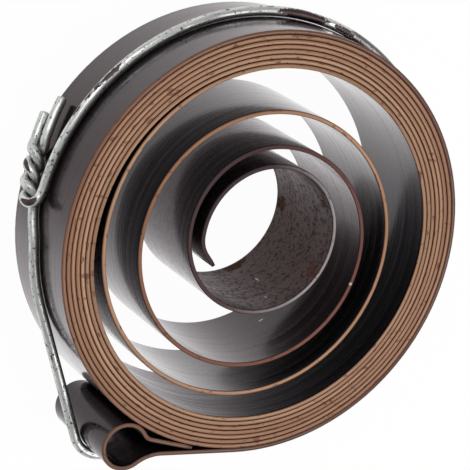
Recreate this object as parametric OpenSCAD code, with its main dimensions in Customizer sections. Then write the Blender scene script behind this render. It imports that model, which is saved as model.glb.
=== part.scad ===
// Flat spiral return spring for a drill press, tied with binding wire.
// The spring lies on one edge of its strip: +Z is the coil axis, and Z = 0 is the resting plane.
// The origin is on the axis of the inner coil, where the shaft goes.

/* [Strip] */
// Width of the strip, along the coil axis
strip_w = 19; // [12:0.5:26]
// Thickness of the strip
strip_t = 0.7; // [0.5:0.05:0.9]
// Clearance between neighbouring packed turns
turn_gap = 0.06; // [0.04:0.01:0.12]

/* [Coils] */
// Radius of the space inside the inner coil
arbor_r = 11.1; // [9:0.1:13]
// Radius over the outermost turn, where its end leaves the rim
rim_r = 34.5; // [32:0.5:40]
// Whole turns in the packed band
packed_turns = 7; // [5:1:8]
// How far the inner coil has opened at each quarter turn: 0 at the shaft, 1 at the packed band
inner_opening = [0.044, 0.094, 0.132]; // [0:0.001:1]
// How far the first free turn has opened at each quarter turn
first_opening = [0.316, 0.419, 0.5, 0.556]; // [0:0.001:1]
// How far the second free turn has opened at each quarter turn
second_opening = [0.623, 0.709, 0.822, 0.93]; // [0:0.001:1]

/* [Hook] */
// Radius of the bend, at mid-thickness, between the inner coil and its hooked end
hook_bend_r = 4.5; // [3:0.1:6]
// Angle by which the hooked end turns towards the shaft
hook_angle = 40; // [20:1:60]
// Length of the straight tip past the bend
hook_tip_l = 2.2; // [1:0.1:4]

/* [Eye] */
// Bore of the eye, for the anchor pin
eye_bore_d = 6.5; // [5:0.1:8]
// Angle from the bottom of the rim to the eye, about the coil axis
eye_angle = 30; // [26:1:36]
// Clearance between the eye and the rim
eye_gap = 0.1; // [0.05:0.05:0.5]
// Radius of the bend, at mid-thickness, between the outer leaf and the eye
leaf_bend_r = 7; // [5:0.1:9]
// Radius of the bend, at mid-thickness, between the eye and the leaf that turns back
return_bend_r = 2; // [1.5:0.1:3]
// Angle from the bottom of the rim to the end of the leaf that turns back
return_angle = 12.5; // [12:0.1:16]
// Clearance between the leaf that turns back and the rim
return_gap = 0.06; // [0.04:0.01:0.1]
// How much the strip swells on each side where it is rolled into the eye
eye_swell = 0.02; // [0.01:0.01:0.04]

/* [Tie wire] */
// Diameter of the wire
wire_d = 1.6; // [1:0.1:1.8]
// Clearance between the wire and the strip
wire_gap = 0.05; // [0.03:0.01:0.2]
// Height of the wire round the rim
wire_z = 10; // [9.5:0.5:14]

/* [Wire twist] */
// Angle round the rim where the twist starts, from +X towards +Y
join_angle = 177.4; // [172:0.1:178]
// Clearance between the two twisted ends
twist_gap = 0.14; // [0.14:0.01:0.2]
// Turns that the twist would have if it were even from end to end
twist_turns = 2.4; // [2.2:0.1:2.4]
// Angle between the rim and the twist where it starts
lean_angle = 40; // [40:1:45]
// Angle between the rim and the straight cut ends
end_lean = 18; // [12:1:20]

/* [Twist lengths, in wire diameters] */
// Length of the twist
twist_share = 7.6; // [7.6:0.1:8.2]
// Length over which the twist eases in at its start and out at its end
ease_share = 1.5; // [1.4:0.05:1.6]
// Radius in which the twist swings round towards the rim's own direction
sweep_share = 10.6; // [10.6:0.2:12.4]
// How far below the belt the twist starts
drop_share = 0.25; // [0.25:0.05:0.4]
// Straight length of the longer cut end
long_share = 4.2; // [2.6:0.1:5]
// Straight length of the shorter cut end
short_share = 2.4; // [1.6:0.1:3]
// Length above the twist's start in which the upper end turns back on itself
turn_share = 3.1; // [3:0.1:3.4]
// How far the upper end is drawn out as it turns back
turn_reach_share = 4.5; // [4.4:0.1:4.7]
// Length below the twist's start in which the lower end rises off the rim
rise_share = 2.8; // [2.5:0.1:4]
// How far the lower end bulges as it rises
rise_reach_share = 2.3; // [2:0.1:3]

/* [Hidden] */
$fn = 96;
// Sizes along the coil are rounded to this, so that neighbouring arcs meet exactly.
grain = 0.001;
// Sides of the wire's section, largest steps along its belt and its twist, and steps along each bend
wire_sides = 12;
arc_step = 4;
twist_step = 0.45;
bend_steps = 14;
// Points along the bend of each formed end of the strip
form_steps = 10;
// Share of the room in the eye's wall that the end of a bend takes up
wall_share = 0.8;

function rounded(v) = round(v / grain) * grain;
function polar(a) = [cos(a), sin(a)];

// Quarter arcs of the coil, counted outwards from the hook. Arc i spans 90 degrees from arc_start(i).
pitch = strip_t + turn_gap;
opening = concat([0, 0], inner_opening, first_opening, second_opening);
open_arcs = len(opening);
last_arc = open_arcs + 4 * packed_turns + 1;
inner_r = arbor_r + strip_t / 2;
outer_r = rim_r - strip_t / 2;
function packed_r(i) = outer_r - (last_arc - i) * pitch / 4;
band_r = packed_r(open_arcs);
function arc_r(i) = rounded(i < open_arcs ? inner_r + (band_r - inner_r) * opening[i] : packed_r(i));
function arc_start(i) = (450 - 90 * (i % 4)) % 360;
// Direction, from the arc's centre, of the joint between arc i and the next one out
function joint_way(i) = [[0, 1], [1, 0], [0, -1], [-1, 0]][i % 4];
centres = [
    for (i = 0, c = [0, 0]; i <= last_arc; c = c + (arc_r(i) - arc_r(i + 1)) * joint_way(i), i = i + 1) c
];
function face_r(i) = arc_r(i) + strip_t / 2;

// Arcs of the outermost turn, named by where they lie
lower_left = last_arc - 3;
upper_left = last_arc - 2;
upper_right = last_arc - 1;
lower_right = last_arc;

// Eye: a true tube whose wall holds the ends of both bends
eye_wall = strip_t + 2 * eye_swell;
eye_mid_r = (eye_bore_d + eye_wall) / 2;
eye_out_r = eye_bore_d / 2 + eye_wall;
eye_far = face_r(lower_left) + eye_gap + eye_out_r;
// Angle by which a bend can run on inside the eye's wall before it would break out of it
function run_on(bend_r) = wall_share * sqrt(2 * eye_swell / (1 / eye_mid_r + 1 / bend_r)) / bend_r * 180 / PI;
eye_c = [for (v = centres[lower_left] + eye_far * polar(270 - eye_angle)) rounded(v)];

// Outer leaf: straight from the lowest point of the rim, then a bend that runs into the eye's wall
leaf_start = centres[lower_right] - [0, arc_r(lower_right)];
leaf_turn = acos((eye_c.y - leaf_start.y + leaf_bend_r) / (eye_mid_r + leaf_bend_r));
leaf_l = rounded(leaf_start.x - eye_c.x - (eye_mid_r + leaf_bend_r) * sin(leaf_turn));

// Leaf that turns back: straight and beside the rim, from a bend that leaves the eye's wall
return_out = polar(270 - return_angle);
return_r = face_r(lower_left) + return_gap + strip_t / 2;
return_end = centres[lower_left] + return_r * return_out;
eye_past_leaf = (eye_c - return_end) * return_out;
return_turn = acos((return_bend_r + eye_past_leaf) / (eye_mid_r + return_bend_r));
return_leave = 90 - return_angle - return_turn;
return_bend_c = eye_c + (eye_mid_r + return_bend_r) * polar(return_leave);

// Outline of a strip that follows a line of points, each [x, y, angle of travel]
function strip_side(line, side) = [for (p = line) [p.x, p.y] + side * strip_t / 2 * polar(p.z + 90)];
function reversed(list) = [for (i = [len(list) - 1:-1:0]) list[i]];
function strip_outline(line) = concat(strip_side(line, 1), reversed(strip_side(line, -1)));
function with_angle(p, a) = [p.x, p.y, a];

hook_line = concat(
    [
        for (j = [0:form_steps])
            let (a = j / form_steps * hook_angle)
            [-inner_r + hook_bend_r * (1 - cos(a)), -hook_bend_r * sin(a), a - 90]
    ],
    [
        [
            -inner_r + hook_bend_r * (1 - cos(hook_angle)) + hook_tip_l * sin(hook_angle),
            -hook_bend_r * sin(hook_angle) - hook_tip_l * cos(hook_angle),
            hook_angle - 90
        ]
    ]
);

// The turned-back leaf, from inside the eye's wall to its free end
return_line = concat(
    [
        for (j = [0:form_steps])
            let (
                start = -run_on(return_bend_r),
                a = return_leave - 90 + start + j / form_steps * (return_turn - start)
            )
            with_angle(return_bend_c + return_bend_r * polar(a - 90), a)
    ],
    [with_angle(return_end, -return_angle)]
);

module strip_section(r, t) {
    translate([r - t / 2, 0]) square([t, strip_w]);
}

module strip_arc(c, r, start, angle, t = strip_t) {
    translate([c.x, c.y, 0])
        rotate_extrude(angle = angle, start = start)
            strip_section(r, t);
}

module coil() {
    for (i = [0:last_arc])
        strip_arc(centres[i], arc_r(i), arc_start(i), 90);
}

module hook() {
    linear_extrude(strip_w) polygon(strip_outline(hook_line));
}

module eye() {
    translate([leaf_start.x - leaf_l, leaf_start.y - strip_t / 2, 0])
        cube([leaf_l, strip_t, strip_w]);
    strip_arc(leaf_start - [leaf_l, leaf_bend_r], leaf_bend_r, 90, leaf_turn + run_on(leaf_bend_r));
    strip_arc(eye_c, eye_mid_r, return_leave, 270 + leaf_turn - return_leave, eye_wall);
    linear_extrude(strip_w) polygon(strip_outline(return_line));
}

module spring_strip() {
    color([0.24, 0.22, 0.23]) union() {
        coil();
        hook();
        eye();
    }
}

// Wire path: a belt round the rim and the eye, then the two ends, twisted and folded down on the rim
wire_r = wire_d / 2;
wire_lift = wire_gap + wire_r;
helix_r = (wire_d + twist_gap) / 2;
eye_belt_r = eye_out_r + wire_lift;
function belt_r(i) = face_r(i) + wire_lift;
// Angle at which the wire runs straight between the rim's arc i and the eye
function tangent_angle(i, side) =
    let (d = eye_c - centres[i])
    atan2(d.y, d.x) + side * acos((belt_r(i) - eye_belt_r) / norm(d));
leave_angle = tangent_angle(lower_right, 1);
meet_angle = tangent_angle(lower_left, -1);

// Arc of the outermost turn at angle a, for angles from -90 to 270
function rim_arc(a) = a > 180 ? lower_left : a > 90 ? upper_left : a > 0 ? upper_right : lower_right;
// A point at angle a round the rim and at height z, lifted off the rim by h
function off_rim(a, z, h) =
    let (i = rim_arc(a))
    let (p = centres[i] + (face_r(i) + h) * polar(a))
    [p.x, p.y, z];
function on_eye(a) = let (p = eye_c + eye_belt_r * polar(a)) [p.x, p.y, wire_z];
function angles(from, to) =
    let (n = ceil((from - to) / arc_step))
    [for (j = [0:n]) from + (to - from) * j / n];

// Near the join, places are [s along the rim from the twist's start, height, lift off the rim].
rim_turn = 180 / PI / belt_r(upper_left);
function beside_join(p) = off_rim(join_angle - p[0] * rim_turn, p[1], p[2]);
function unit(v) = v / norm(v);

// Axis of the twist: it leaves the belt at the lean angle and swings round to the lean of the cut ends.
twist_l = twist_share * wire_d;
ease_l = ease_share * wire_d;
sweep_r = sweep_share * wire_d;
sweep_l = sweep_r * (lean_angle - end_lean) * PI / 180;
function axis_lean(u) = max(lean_angle - u / sweep_r * 180 / PI, end_lean);
function axis_point(u) =
    let (
        a = axis_lean(u),
        straight = max(u - sweep_l, 0)
    )
    [
        sweep_r * (sin(lean_angle) - sin(a)) + straight * cos(end_lean),
        wire_z - drop_share * wire_d - sweep_r * (cos(a) - cos(lean_angle)) - straight * sin(end_lean),
        wire_lift + helix_r
    ];
twist_rate = 360 * twist_turns / twist_l;
function eased_l(u) =
    u < ease_l ? u * u / (2 * ease_l)
    : u < twist_l - ease_l ? u - ease_l / 2
    : twist_l - ease_l - pow(twist_l - min(u, twist_l), 2) / (2 * ease_l);
// The two ends lie on opposite sides of the axis: side 1 comes from above the join, -1 from below.
function strand(side, u) =
    let (
        a = axis_lean(u),
        f = 90 - 90 * side + twist_rate * eased_l(u)
    )
    axis_point(u) + helix_r * [cos(f) * sin(a), cos(f) * cos(a), sin(f)];
function strand_way(side, u) = unit(strand(side, u + grain) - strand(side, u));
// Curve from p to q that leaves along p_way and arrives along q_way
function drawn(p, p_way, q, q_way, t) =
    (1 + 2 * t) * pow(1 - t, 2) * p + t * pow(1 - t, 2) * p_way
    + (3 - 2 * t) * t * t * q - (1 - t) * t * t * q_way;
turn_l = turn_share * wire_d;
rise_l = rise_share * wire_d;
function join_bend(side) =
    let (
        start = [side > 0 ? turn_l : -rise_l, wire_z, wire_lift],
        reach = (side > 0 ? turn_reach_share : rise_reach_share) * wire_d,
        end = strand(side, ease_l),
        end_way = strand_way(side, ease_l)
    )
    [for (j = [1:bend_steps - 1]) drawn(start, [-side * reach, 0, 0], end, end_way * reach, j / bend_steps)];
function twist(side, end_l) =
    let (
        l = twist_l + end_l - ease_l,
        n = ceil(l / twist_step)
    )
    [for (j = [0:n]) strand(side, ease_l + l * j / n)];
function wire_end(side, end_l) = [for (p = concat(join_bend(side), twist(side, end_l))) beside_join(p)];
belt = concat(
    [for (a = angles(join_angle - turn_l * rim_turn, leave_angle)) off_rim(a, wire_z, wire_lift)],
    [for (a = angles(leave_angle, meet_angle)) on_eye(a)],
    [for (a = angles(meet_angle + 360, join_angle + rise_l * rim_turn)) off_rim(a, wire_z, wire_lift)]
);
wire_path = concat(reversed(wire_end(1, long_share * wire_d)), belt, wire_end(-1, short_share * wire_d));

// Direction of travel at each path point, and a direction square to it that is carried along the path
path_end = len(wire_path) - 1;
ways = [for (i = [0:path_end]) unit(wire_path[min(i + 1, path_end)] - wire_path[max(i - 1, 0)])];
function carried(v, way) = unit(v - (v * way) * way);
sides = [
    for (
        i = 0, v = carried([0, 0, 1], ways[0]);
        i <= path_end;
        i = i + 1, v = carried(v, ways[min(i, path_end)])
    )
        v
];
function wire_ring(i) =
    let (up = cross(sides[i], ways[i]))
    [
        for (k = [0:wire_sides - 1])
            let (f = 360 * k / wire_sides)
            wire_path[i] + wire_r * (cos(f) * up + sin(f) * sides[i])
    ];

module tie_wire() {
    points = [for (i = [0:path_end]) each wire_ring(i)];
    walls = [
        for (i = [0:path_end - 1], k = [0:wire_sides - 1])
            let (
                a = i * wire_sides + k,
                b = i * wire_sides + (k + 1) % wire_sides
            )
            [a, b, b + wire_sides, a + wire_sides]
    ];
    start_cap = [for (k = [wire_sides - 1:-1:0]) k];
    end_cap = [for (k = [0:wire_sides - 1]) path_end * wire_sides + k];
    color([0.68, 0.69, 0.67])
        polyhedron(points = points, faces = concat([start_cap], walls, [end_cap]));
}

spring_strip();
tie_wire();
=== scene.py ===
"""Dresses a drill press return spring: a flat spiral spring of dark steel strip, tied with binding wire.

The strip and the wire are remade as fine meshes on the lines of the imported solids, and get worn steel and
zinc finishes. A white studio shows them from the photograph's viewpoint.
Sizes are in millimetres and degrees, unless a name says otherwise.
"""

import logging
import math
from dataclasses import dataclass, field
from enum import Enum
from typing import NamedTuple

import bpy
import numpy as np
from mathutils import Matrix, Vector


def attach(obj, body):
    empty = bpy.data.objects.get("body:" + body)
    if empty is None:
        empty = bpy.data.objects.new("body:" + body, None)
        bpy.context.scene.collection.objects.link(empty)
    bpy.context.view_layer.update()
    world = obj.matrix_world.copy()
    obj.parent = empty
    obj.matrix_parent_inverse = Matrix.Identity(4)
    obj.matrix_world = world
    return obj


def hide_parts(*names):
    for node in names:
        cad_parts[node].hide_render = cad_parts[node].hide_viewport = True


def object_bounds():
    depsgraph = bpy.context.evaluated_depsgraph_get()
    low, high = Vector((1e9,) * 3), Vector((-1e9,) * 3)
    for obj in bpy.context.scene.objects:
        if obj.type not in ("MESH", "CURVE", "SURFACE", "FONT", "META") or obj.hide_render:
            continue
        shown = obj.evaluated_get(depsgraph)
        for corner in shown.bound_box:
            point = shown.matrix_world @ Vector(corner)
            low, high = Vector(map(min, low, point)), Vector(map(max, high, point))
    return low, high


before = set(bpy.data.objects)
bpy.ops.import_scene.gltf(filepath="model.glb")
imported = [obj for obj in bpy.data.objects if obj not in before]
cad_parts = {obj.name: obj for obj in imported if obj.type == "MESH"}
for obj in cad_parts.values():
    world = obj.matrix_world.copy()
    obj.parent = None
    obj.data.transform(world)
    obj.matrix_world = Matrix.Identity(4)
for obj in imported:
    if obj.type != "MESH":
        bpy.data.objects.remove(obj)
CAD_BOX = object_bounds()

MM = 0.001
BODY = "root"
BAKE_MAP = "OFBake"
MAP_MARGIN = 0.004
MAP_ROWS_SHARE = 0.97
CAP_R = 0.01
START_CAP_PLACE = (0.02, 0.985)
END_CAP_PLACE = (0.06, 0.985)
log = logging.getLogger("spring")

Colour = tuple[float, float, float, float]
Socket = bpy.types.NodeSocket
Input = Socket | float | tuple


class Slot(Enum):
    """The record's material slots."""

    STEEL = "dark_spring_steel"
    ZINC = "galvanised_wire"


class Mark(Enum):
    """Values that a mesh carries for its finish."""

    PLACE = "place"
    EDGE = "edge"


class SocketKind(Enum):
    """Kinds of socket on a node group."""

    VALUE = "NodeSocketFloat"
    VECTOR = "NodeSocketVector"


class Hand(Enum):
    """Which way a stretch turns when the strip is walked from its hook to its eye."""

    LEFT = 1
    AHEAD = 0
    RIGHT = -1


class WireEnd(Enum):
    """The two ends of the tie wire, by the side from which they reach the join."""

    UPPER = 1
    LOWER = -1


def paint(red: int, green: int, blue: int) -> Colour:
    """Linear colour of an sRGB colour.

    Args:
        red: Red, from 0 to 255.
        green: Green, from 0 to 255.
        blue: Blue, from 0 to 255.

    Returns:
        The linear colour, opaque.
    """

    def linear(value: float) -> float:
        """Linear share of one sRGB channel."""
        return value / 12.92 if value <= 0.04045 else ((value + 0.055) / 1.055) ** 2.4

    return (linear(red / 255), linear(green / 255), linear(blue / 255), 1.0)


def polar(angle: float) -> np.ndarray:
    """Unit vector in the plan, at an angle in degrees."""
    turn = math.radians(angle)
    return np.array((math.cos(turn), math.sin(turn)))


def unit(vector: np.ndarray) -> np.ndarray:
    """The vector at length 1."""
    return vector / np.linalg.norm(vector)


@dataclass(frozen=True)
class Coil:
    """The spiral of quarter arcs, counted outwards from the hook."""

    strip_w: float = 19.0
    strip_t: float = 0.7
    turn_gap: float = 0.06
    arbor_r: float = 11.1
    rim_r: float = 34.5
    packed_turns: int = 7
    inner_opening: tuple[float, ...] = (0.0, 0.0, 0.044, 0.094, 0.132)
    first_opening: tuple[float, ...] = (0.316, 0.419, 0.5, 0.556)
    second_opening: tuple[float, ...] = (0.623, 0.709, 0.822, 0.93)

    @property
    def opening(self) -> tuple[float, ...]:
        """How far each free arc has opened: 0 at the shaft, 1 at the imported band."""
        return self.inner_opening + self.first_opening + self.second_opening

    @property
    def last_arc(self) -> int:
        """Number of the arc that ends at the eye's leaf."""
        return len(self.opening) + 4 * self.packed_turns + 1

    @property
    def inner_r(self) -> float:
        """Radius of the innermost arc at mid-thickness."""
        return self.arbor_r + self.strip_t / 2

    def packed_r(self, arc: int) -> float:
        """Radius of a packed arc at mid-thickness."""
        pitch = self.strip_t + self.turn_gap
        return self.rim_r - self.strip_t / 2 - (self.last_arc - arc) * pitch / 4

    def arc_r(self, arc: int) -> float:
        """Radius of any arc at mid-thickness.

        Args:
            arc: Number of the arc, from 0 at the hook.

        Returns:
            The radius.
        """
        if arc >= len(self.opening):
            return round(self.packed_r(arc), 3)
        room = self.packed_r(len(self.opening)) - self.inner_r
        return round(self.inner_r + room * self.opening[arc], 3)

    def face_r(self, arc: int) -> float:
        """Radius of an arc's outer face."""
        return self.arc_r(arc) + self.strip_t / 2

    def centre(self, arc: int) -> np.ndarray:
        """Centre of an arc in the plan.

        Args:
            arc: Number of the arc, from 0 at the hook.

        Returns:
            The point about which the arc turns.
        """
        joint_ways = (np.array((0, 1)), np.array((1, 0)), np.array((0, -1)), np.array((-1, 0)))
        place = np.zeros(2)
        for i in range(arc):
            place = place + (self.arc_r(i) - self.arc_r(i + 1)) * joint_ways[i % 4]
        return place

    def rim_arc(self, angle: float) -> int:
        """Number of the outermost turn's arc at an angle.

        Args:
            angle: Angle round the coil, from -90 to 270.

        Returns:
            The arc's number, from 0 at the hook.
        """
        if angle > 180:
            return self.last_arc - 3
        if angle > 90:
            return self.last_arc - 2
        return self.last_arc - 1 if angle > 0 else self.last_arc


@dataclass(frozen=True)
class Stretch:
    """A straight or an arc of the strip's mid-line."""

    hand: Hand
    length: float
    radius: float = math.inf

    @property
    def bend(self) -> float:
        """Turn to the left per millimetre, in radians."""
        return self.hand.value / self.radius


def arc(hand: Hand, radius: float, angle: float) -> Stretch:
    """A stretch that turns by an angle at a radius."""
    return Stretch(hand, radius * math.radians(angle), radius)


@dataclass(frozen=True)
class StripEnds:
    """The hooked inner end and the rolled eye at the outer end."""

    coil: Coil
    hook_bend_r: float = 4.5
    hook_angle: float = 40.0
    hook_tip_l: float = 2.2
    eye_bore_d: float = 6.5
    eye_angle: float = 30.0
    eye_gap: float = 0.1
    eye_swell: float = 0.02
    leaf_bend_r: float = 7.0
    return_bend_r: float = 2.0
    return_angle: float = 12.5
    return_gap: float = 0.06

    @property
    def eye_wall(self) -> float:
        """Wall of the rolled eye."""
        return self.coil.strip_t + 2 * self.eye_swell

    @property
    def eye_r(self) -> float:
        """Radius of the eye at mid-thickness."""
        return (self.eye_bore_d + self.eye_wall) / 2

    @property
    def eye_out_r(self) -> float:
        """Radius over the eye."""
        return self.eye_bore_d / 2 + self.eye_wall

    @property
    def eye_centre(self) -> np.ndarray:
        """Axis of the eye.

        Returns:
            Its point in the plan.
        """
        lower_left = self.coil.last_arc - 3
        far = self.coil.face_r(lower_left) + self.eye_gap + self.eye_out_r
        return np.round(self.coil.centre(lower_left) + far * polar(270 - self.eye_angle), 3)

    def hook_tip(self) -> np.ndarray:
        """Where the hook's cut end lies.

        Returns:
            Its point in the plan, at mid-thickness.
        """
        turn, drop = polar(self.hook_angle)
        across = -self.coil.inner_r + self.hook_bend_r * (1 - turn) + self.hook_tip_l * drop
        return np.array((across, -self.hook_bend_r * drop - self.hook_tip_l * turn))

    def hook(self) -> list[Stretch]:
        """Stretches from the hook's tip to the inner coil."""
        return [Stretch(Hand.AHEAD, self.hook_tip_l), arc(Hand.RIGHT, self.hook_bend_r, self.hook_angle)]

    def eye(self) -> list[Stretch]:
        """Stretches from the rim's lowest point, through the eye, to the end of the turned-back leaf.

        Returns:
            The outer leaf, the bend into the eye, the eye, the bend out of it and the turned-back leaf.
        """
        coil, eye = self.coil, self.eye_centre
        last, lower_left = coil.last_arc, coil.last_arc - 3
        start = coil.centre(last) - np.array((0, coil.arc_r(last)))
        leaf_reach = self.eye_r + self.leaf_bend_r
        leaf_turn = math.degrees(math.acos((eye[1] - start[1] + self.leaf_bend_r) / leaf_reach))
        leaf_l = start[0] - eye[0] - leaf_reach * math.sin(math.radians(leaf_turn))
        away = polar(270 - self.return_angle)
        end_r = coil.face_r(lower_left) + self.return_gap + coil.strip_t / 2
        end = coil.centre(lower_left) + end_r * away
        past = float(np.dot(eye - end, away))
        return_reach = self.eye_r + self.return_bend_r
        return_turn = math.degrees(math.acos((self.return_bend_r + past) / return_reach))
        leave = 90 - self.return_angle - return_turn
        bend_c = eye + return_reach * polar(leave)
        bend_end = bend_c + self.return_bend_r * polar(-self.return_angle - 90)
        return [
            Stretch(Hand.AHEAD, leaf_l),
            arc(Hand.LEFT, self.leaf_bend_r, leaf_turn),
            arc(Hand.RIGHT, self.eye_r, 270 + leaf_turn - leave),
            arc(Hand.LEFT, self.return_bend_r, return_turn),
            Stretch(Hand.AHEAD, float(np.linalg.norm(end - bend_end))),
        ]


@dataclass
class Line:
    """Stations along a strip's mid-line."""

    point: list[np.ndarray] = field(default_factory=list)
    heading: list[float] = field(default_factory=list)
    along: list[float] = field(default_factory=list)

    def add(self, point: np.ndarray, heading: float, along: float) -> None:
        """Adds one station.

        Args:
            point: Its point in the plan.
            heading: Way of the line there, in radians.
            along: Distance from the line's start.
        """
        self.point.append(point)
        self.heading.append(heading)
        self.along.append(along)


@dataclass
class Sweep:
    """Rings of points along a line, skinned into one closed mesh with a bake map in rows.

    Attributes:
        rings: Points of each ring, as stations by points by 3.
        place: Unrolled place of each point, the same shape as rings.
        edge: Share of slit edge at each point of a ring.
        girth: Distance round the ring to each of its points, and back to the first.
    """

    rings: np.ndarray
    place: np.ndarray
    edge: np.ndarray
    girth: np.ndarray

    def faces(self) -> np.ndarray:
        """Quads between neighbouring rings.

        Returns:
            Numbers of the points, as quads by 4.
        """
        stations, points = self.rings.shape[:2]
        ring, step = np.meshgrid(np.arange(stations - 1), np.arange(points), indexing="ij")
        here = ring * points + step
        after = ring * points + (step + 1) % points
        return np.stack((here, after, after + points, here + points), axis=-1).reshape(-1, 4)

    def bake_places(self) -> np.ndarray:
        """Where each corner of each quad lies in the bake map: the skin unrolled and cut into rows.

        Returns:
            Map places, as quads by 4 by 2.
        """
        along = self.place[:, 0, 0]
        length, round_l = along[-1] - along[0], self.girth[-1]
        rows = max(1, round(math.sqrt(length / round_l)))
        row_l = length / rows
        stations, points = self.rings.shape[:2]
        row = np.minimum((along[:-1] - along[0]) // row_l, rows - 1)
        start = (along[:-1] - along[0] - row * row_l) / row_l
        stop = (along[1:] - along[0] - row * row_l) / row_l
        low = self.girth[:-1] / round_l
        high = self.girth[1:] / round_l
        places = np.zeros((stations - 1, points, 4, 2))
        for corner, (across, up) in enumerate(((start, low), (start, high), (stop, high), (stop, low))):
            places[:, :, corner, 0] = MAP_MARGIN + across[:, None] * (1 - 4 * MAP_MARGIN)
            lane = MAP_MARGIN + up * (1 - 2 * MAP_MARGIN)
            places[:, :, corner, 1] = (row[:, None] + lane[None, :]) / rows * MAP_ROWS_SHARE
        return places.reshape(-1, 4, 2)

    def mesh(self, name: str) -> bpy.types.Mesh:
        """Skins the rings, closes both ends and stores the marks and the bake map.

        Args:
            name: Name of the mesh.

        Returns:
            The mesh, in metres, with its end faces on the second material.
        """
        stations, points = self.rings.shape[:2]
        quads = self.faces()
        start_cap = list(range(points - 1, -1, -1))
        end_cap = [(stations - 1) * points + k for k in range(points)]
        made = bpy.data.meshes.new(name)
        made.from_pydata((self.rings.reshape(-1, 3) * MM).tolist(), [], quads.tolist() + [start_cap, end_cap])
        smooth = np.ones(len(made.polygons), dtype=bool)
        smooth[-2:] = False
        made.polygons.foreach_set("use_smooth", smooth)
        material = np.zeros(len(made.polygons), dtype=np.int32)
        material[-2:] = 1
        made.polygons.foreach_set("material_index", material)
        place = made.attributes.new(Mark.PLACE.value, "FLOAT_VECTOR", "POINT")
        place.data.foreach_set("vector", (self.place * MM).astype(np.float32).ravel())
        edge = made.attributes.new(Mark.EDGE.value, "FLOAT", "POINT")
        edge.data.foreach_set("value", np.tile(self.edge, stations).astype(np.float32))
        self.store_bake_map(made, points)
        made.validate()
        made.update()
        return made

    def store_bake_map(self, made: bpy.types.Mesh, points: int) -> None:
        """Writes the bake map: quads in rows, and the two end faces as small discs in the spare lane.

        Args:
            made: Mesh whose faces are the quads and then the two ends.
            points: Points in one ring.
        """
        disc = np.array([polar(360 * k / points) for k in range(points)]) * CAP_R
        caps = (disc * np.array((1, -1)) + np.array(START_CAP_PLACE), disc + np.array(END_CAP_PLACE))
        places = np.concatenate((self.bake_places().reshape(-1, 2), *caps))
        layer = made.uv_layers.new(name=BAKE_MAP)
        layer.data.foreach_set("uv", places.astype(np.float32).ravel())


class Fade(NamedTuple):
    """A smooth change of one value as another grows.

    Attributes:
        low: Value at which the change starts.
        high: Value at which it ends.
        at_low: Result at and below low.
        at_high: Result at and above high.
    """

    low: float
    high: float
    at_low: float = 0.0
    at_high: float = 1.0

    @property
    def in_mm(self) -> "Fade":
        """The same change over a length in metres, where low and high are written in millimetres."""
        return self._replace(low=self.low * MM, high=self.high * MM)


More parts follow.
